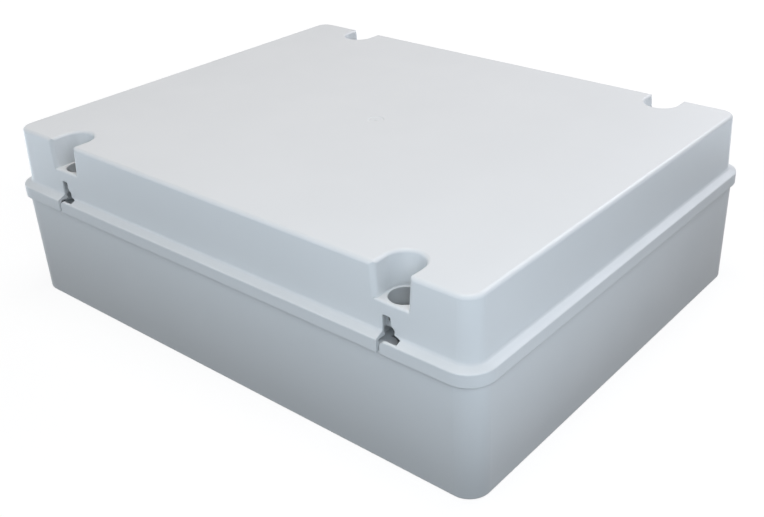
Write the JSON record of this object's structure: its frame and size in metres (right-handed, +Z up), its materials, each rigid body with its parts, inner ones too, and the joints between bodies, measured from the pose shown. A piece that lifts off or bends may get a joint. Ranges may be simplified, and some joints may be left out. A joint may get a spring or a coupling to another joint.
{
  "type": "junction box",
  "caption": "Rectangular plastic enclosure: deep base, stepped lift-off lid with a rubber gasket, and captive quarter-turn lid screws in open wells along its long sides.",
  "frame": {"origin": "under the middle of the box, on the plane of the base's underside", "axes": "+X along the long side, +Y along the short side, +Z up through the lid; -Y is the long side at the left of the picture"},
  "size_m": [0.391, 0.311, 0.1215],
  "materials": {
    "box_plastic": "semi-gloss light grey",
    "screw_plastic": "satin grey",
    "ring_plastic": "satin black",
    "cap_plastic": "satin light grey",
    "gasket_rubber": "soft matt"
  },
  "bodies": {
    "base": {"base": "box_plastic", "fixing_cap_1": "cap_plastic", "fixing_cap_2": "cap_plastic", "fixing_cap_3": "cap_plastic", "fixing_cap_4": "cap_plastic"},
    "lid": {"lid": "box_plastic", "gasket": "gasket_rubber"},
    "screw_1": {"lid_screw_1": "screw_plastic", "screw_ring_1": "ring_plastic"},
    "screw_2": {"lid_screw_2": "screw_plastic", "screw_ring_2": "ring_plastic"},
    "screw_3": {"lid_screw_3": "screw_plastic", "screw_ring_3": "ring_plastic"},
    "screw_4": {"lid_screw_4": "screw_plastic", "screw_ring_4": "ring_plastic"}
  },
  "joints": [
    {"name": "lid_lift", "type": "slide", "parent": "base", "child": "lid", "axis": [0, 0, 1], "range_m": [0, 0.15]},
    {"name": "screw_turn_1", "type": "hinge", "parent": "lid", "child": "screw_1", "pos_m": [0.1385, -0.138, 0.087], "axis": [0, 0, -1], "range_deg": [0, 90]},
    {"name": "screw_turn_2", "type": "hinge", "parent": "lid", "child": "screw_2", "pos_m": [-0.1385, -0.138, 0.087], "axis": [0, 0, -1], "range_deg": [0, 90]},
    {"name": "screw_turn_3", "type": "hinge", "parent": "lid", "child": "screw_3", "pos_m": [-0.1385, 0.138, 0.087], "axis": [0, 0, -1], "range_deg": [0, 90]},
    {"name": "screw_turn_4", "type": "hinge", "parent": "lid", "child": "screw_4", "pos_m": [0.1385, 0.138, 0.087], "axis": [0, 0, -1], "range_deg": [0, 90]}
  ]
}
